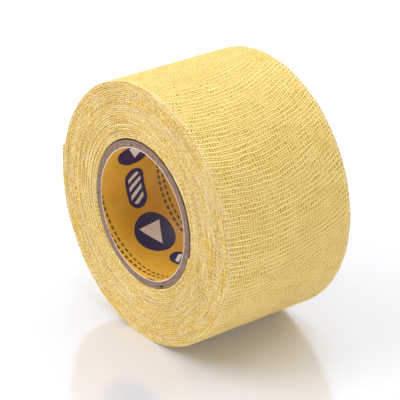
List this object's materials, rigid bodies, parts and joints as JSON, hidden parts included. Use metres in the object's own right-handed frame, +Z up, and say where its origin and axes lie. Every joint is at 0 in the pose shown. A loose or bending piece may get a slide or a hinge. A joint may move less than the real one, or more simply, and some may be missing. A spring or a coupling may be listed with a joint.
{
  "type": "grip tape roll",
  "caption": "Roll of yellow stretch cotton grip tape wound on a paperboard core with a printed liner; the outer end peels off.",
  "frame": {"origin": "centre of the roll: on the bore's axis, halfway across the tape's width", "axes": "+Y along the bore's axis, +Z up, with the roll standing on its outermost turn; the cut end of the tape is on the -X side"},
  "size_m": [0.0678, 0.038, 0.0673],
  "materials": {
    "stretch_cotton": "crinkled open cotton weave with a dry latex coat, matt",
    "paperboard": "raw grey chipboard, matt, cut edges",
    "printed_paper": "coated label paper, satin, printed in navy and white on orange yellow",
    "dried_glue": "thin translucent film of dried glue"
  },
  "bodies": {
    "roll": {"printed_liner": "printed_paper", "core_inner_ply": "paperboard", "core_second_ply": "paperboard", "core_third_ply": "paperboard", "core_outer_ply": "paperboard", "starter_glue": "dried_glue", "tape_winding": "stretch_cotton"},
    "free_end": {"tape_free_end": "stretch_cotton"}
  },
  "joints": [
    {"name": "peel", "type": "hinge", "parent": "roll", "child": "free_end", "pos_m": [-0.0317, 0, -0.01238], "axis": [0, -1, 0], "range_deg": [0, 90]}
  ]
}
